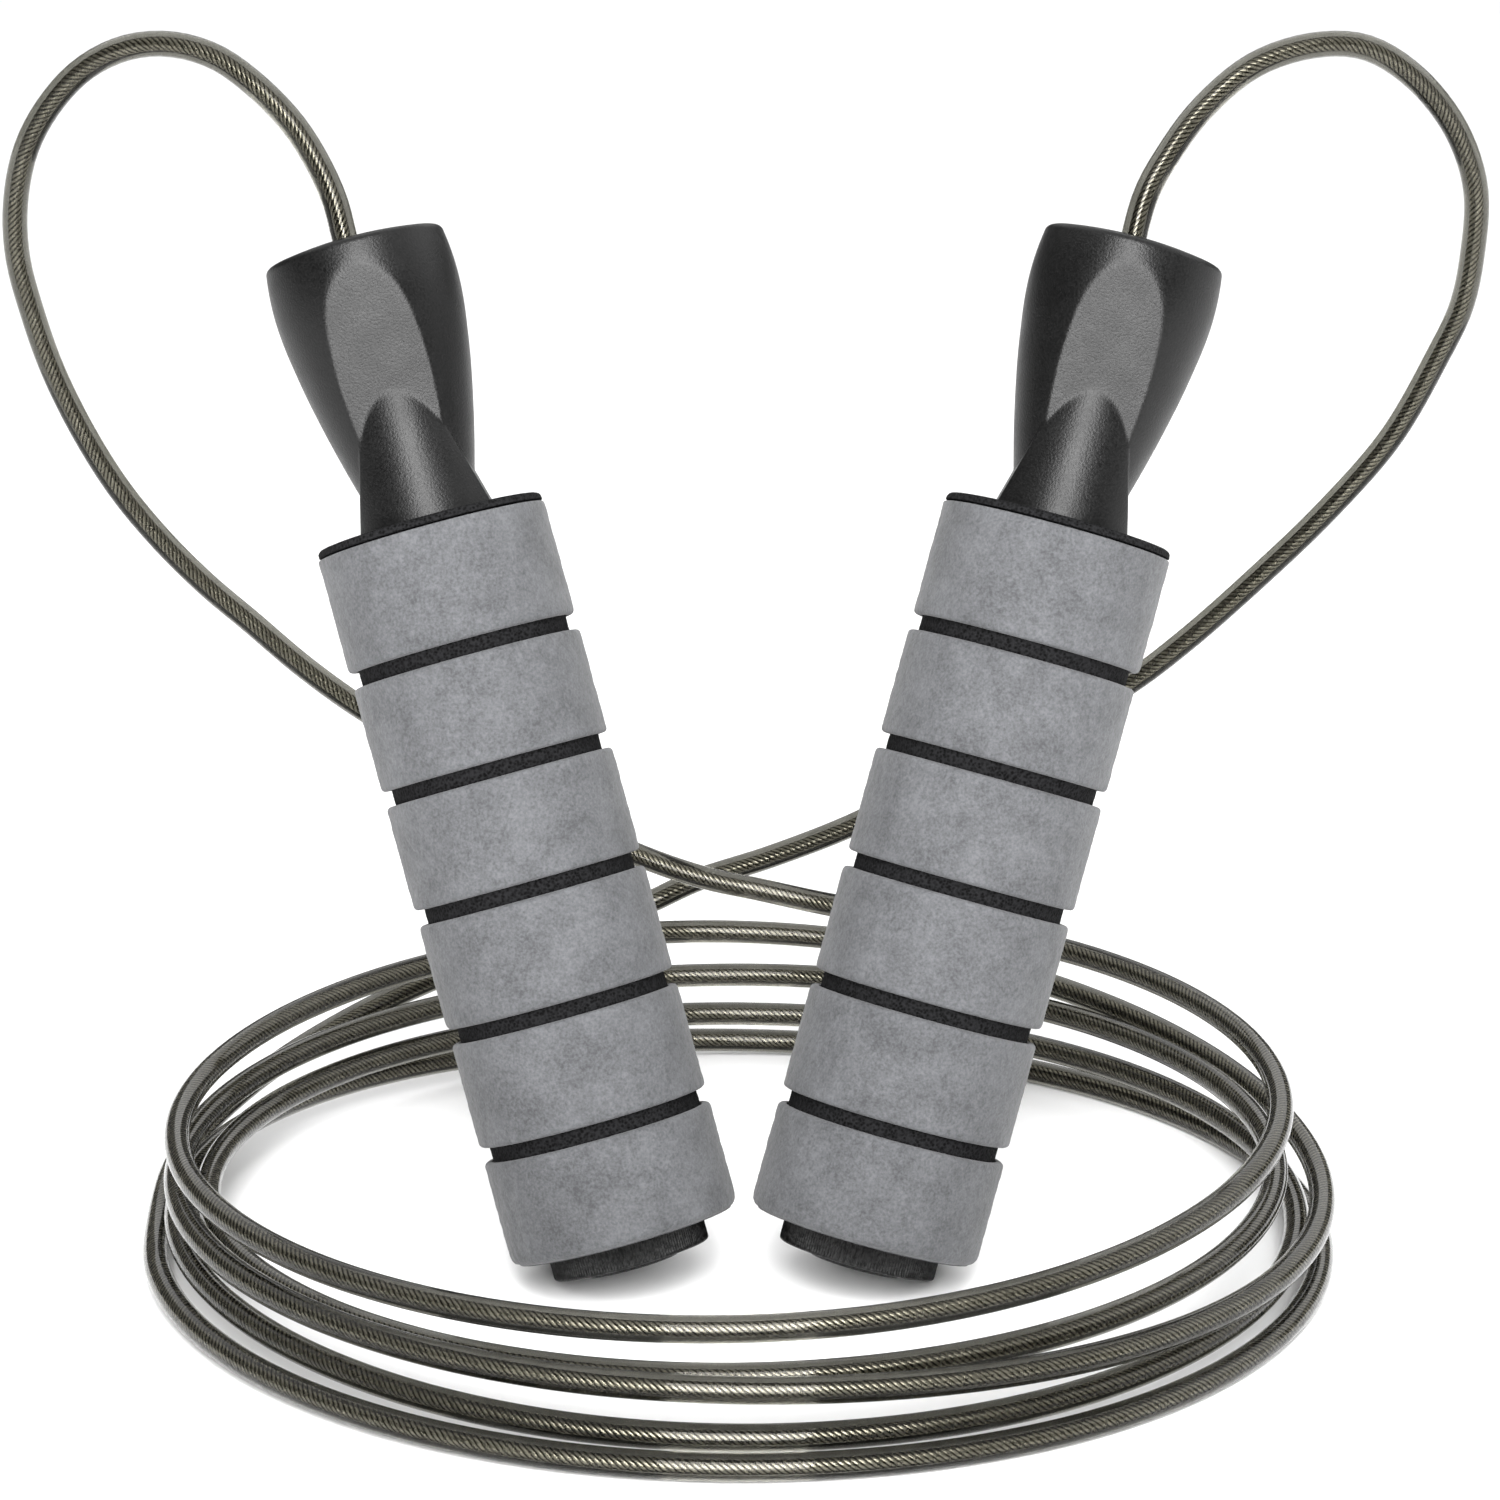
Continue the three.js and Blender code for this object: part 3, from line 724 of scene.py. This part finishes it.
def ball_cage(side, material):
    """The balls on their thin ring, as one ring whose section swells to each ball."""
    matrix = handle_matrix(side)
    points = []
    for i in range(CAGE_STEPS):
        turn = i / CAGE_STEPS
        from_ball = ((turn * BALL_COUNT + 0.5) % 1 - 0.5) / BALL_COUNT * 2 * math.pi
        ball = math.sqrt(max(BALL_RADIUS**2 - (BALL_PITCH * math.sin(from_ball)) ** 2, 0))
        section = softer_max(CAGE_RADIUS, ball, 0.03)
        for j in range(CAGE_SIDES):
            round_section = 2 * math.pi * j / CAGE_SIDES
            reach = BALL_PITCH + section * math.cos(round_section)
            height = BEARING_TOP - BEARING_WIDTH / 2 + section * math.sin(round_section)
            angle = 2 * math.pi * turn
            point = Vector((reach * math.cos(angle), reach * math.sin(angle), height)) * MM
            points.append(matrix @ point)
    faces = ring_faces(CAGE_STEPS, CAGE_SIDES, closed=True)
    make_piece(f"{side}_ball_cage_skin", points, faces, material, f"{side}_cage",
               [f"{side}_ball_cage"])


def spindle(side, material):
    bore = CORD_RADIUS + GAP
    low = BEARING_TOP - BEARING_WIDTH - 1.2
    flange = BEARING_TOP + 0.4
    corners = [
        (bore, low, 0.1), (SPINDLE_RADIUS, low, 0.15), (SPINDLE_RADIUS, flange, 0.1),
        (FLANGE_RADIUS, flange, 0.25), (FLANGE_RADIUS, flange + 1, 0.25), (bore, flange + 1, 0.3),
    ]
    lathe(side, "spindle", corners, material, "rope", 96, step=0.5)


def thrust_washer(side, material):
    high = BEARING_TOP - BEARING_WIDTH - GAP
    corners = [
        (INNER_BORE, high - 1, 0.15), (WASHER_RADIUS, high - 1, 0.25),
        (WASHER_RADIUS, high, 0.25), (INNER_BORE, high, 0.15),
    ]
    lathe(side, "thrust_washer", corners, material, "rope", 96, step=0.5)


def refinish(node, material):
    """Gives a CAD node that stays as it is a new material."""
    for place in frame["nodes"][node].material_slots:
        place.material = material


def make_bearings():
    bearing = bare_metal("bearing_steel", (0.72, 0.72, 0.73), 0.12, 0.25)
    spring = bare_metal("spring_steel", (0.5, 0.5, 0.51), 0.28, 0.45)
    brass = bare_metal("brass", (0.78, 0.6, 0.3), 0.22, 0.38)
    for side in SIDES:
        bearing_ring(side, "bearing_outer_ring", OUTER_RACE, BEARING_RADIUS, bearing, f"{side}_handle")
        bearing_ring(side, "bearing_inner_ring", INNER_RACE, INNER_BORE, bearing, "rope")
        ball_cage(side, bearing)
        spindle(side, brass)
        thrust_washer(side, spring)
        refinish(f"{side}_cord_stop", brass)
        refinish(f"{side}_set_screw", spring)
        refinish(f"{side}_bearing_retainer", spring)


def make_handles():
    plastic, grey, black, cap = head_plastic(), grey_foam(), black_foam(), cap_plastic()
    for side in SIDES:
        handle_shell(side, plastic)
        foam_sleeve(side, black)
        for index in range(BAND_COUNT):
            foam_band(side, index, grey)
        end_cap(side, cap)


make_camera()
make_lights()
make_floor()
make_cord()
make_handles()
make_bearings()
